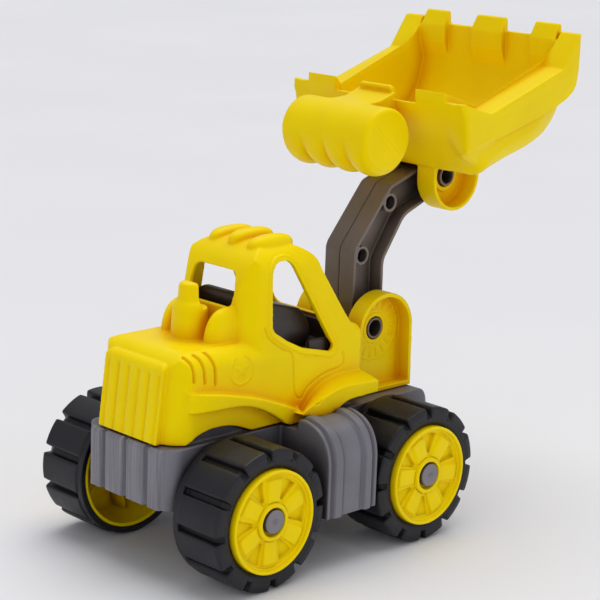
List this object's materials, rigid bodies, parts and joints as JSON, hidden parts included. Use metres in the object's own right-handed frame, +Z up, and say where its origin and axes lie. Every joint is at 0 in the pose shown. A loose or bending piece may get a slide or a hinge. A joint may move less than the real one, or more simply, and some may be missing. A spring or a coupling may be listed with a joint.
{
  "type": "toy front loader",
  "caption": "Plastic toy wheel loader: cab body on a grey frame, chunky tyres on spoked rims, and a cranked lifting arm carrying a toothed bucket with a round push handle.",
  "frame": {"origin": "on the ground, at the centre of the bounding box in plan", "axes": "+X towards the front of the vehicle, where the bucket is; +Y to its left; +Z up"},
  "size_m": [0.2542, 0.1356, 0.2533],
  "materials": {
    "yellow_plastic": "satin moulded polypropylene",
    "grey_plastic": "satin",
    "arm_plastic": "satin",
    "black_tyre": "soft plastic with a dull sheen",
    "seat_plastic": "satin",
    "cap_plastic": "matte",
    "steel": "zinc plated"
  },
  "bodies": {
    "frame": {"chassis": "grey_plastic", "upper_body": "yellow_plastic", "cab_seat": "seat_plastic", "arm_bracket": "yellow_plastic", "body_screw_1": "steel", "body_screw_2": "steel", "body_screw_3": "steel", "body_screw_4": "steel", "bracket_screw_1": "steel", "bracket_screw_2": "steel"},
    "arm": {"arm_half_right": "arm_plastic", "arm_half_left": "arm_plastic", "arm_screw_1": "steel", "arm_screw_2": "steel"},
    "bucket": {"bucket": "yellow_plastic"},
    "wheel_rear_right": {"tyre_rear_right": "black_tyre", "rim_rear_right": "yellow_plastic"},
    "wheel_rear_left": {"tyre_rear_left": "black_tyre", "rim_rear_left": "yellow_plastic"},
    "wheel_front_right": {"tyre_front_right": "black_tyre", "rim_front_right": "yellow_plastic"},
    "wheel_front_left": {"tyre_front_left": "black_tyre", "rim_front_left": "yellow_plastic"},
    "axle_rear": {"axle_rear": "steel", "hub_cap_rear_right": "cap_plastic", "hub_cap_rear_left": "cap_plastic"},
    "axle_front": {"axle_front": "steel", "hub_cap_front_right": "cap_plastic", "hub_cap_front_left": "cap_plastic"}
  },
  "joints": [
    {"name": "arm_lift", "type": "hinge", "parent": "frame", "child": "arm", "pos_m": [0.02615, 0, 0.0994], "axis": [0, 1, 0], "range_deg": [0, 88]},
    {"name": "bucket_tilt", "type": "hinge", "parent": "arm", "child": "bucket", "pos_m": [0.07635, 0, 0.174], "axis": [0, 1, 0], "range_deg": [0, 100]},
    {"name": "wheel_rear_right_spin", "type": "hinge", "parent": "frame", "child": "wheel_rear_right", "pos_m": [-0.09115, 0, 0.035], "axis": [0, 1, 0], "continuous": true},
    {"name": "wheel_rear_left_spin", "type": "hinge", "parent": "frame", "child": "wheel_rear_left", "pos_m": [-0.09115, 0, 0.035], "axis": [0, 1, 0], "continuous": true},
    {"name": "wheel_front_right_spin", "type": "hinge", "parent": "frame", "child": "wheel_front_right", "pos_m": [0.01635, 0, 0.035], "axis": [0, 1, 0], "continuous": true},
    {"name": "wheel_front_left_spin", "type": "hinge", "parent": "frame", "child": "wheel_front_left", "pos_m": [0.01635, 0, 0.035], "axis": [0, 1, 0], "continuous": true},
    {"name": "axle_rear_spin", "type": "hinge", "parent": "frame", "child": "axle_rear", "pos_m": [-0.09115, 0, 0.035], "axis": [0, 1, 0], "continuous": true},
    {"name": "axle_front_spin", "type": "hinge", "parent": "frame", "child": "axle_front", "pos_m": [0.01635, 0, 0.035], "axis": [0, 1, 0], "continuous": true}
  ]
}
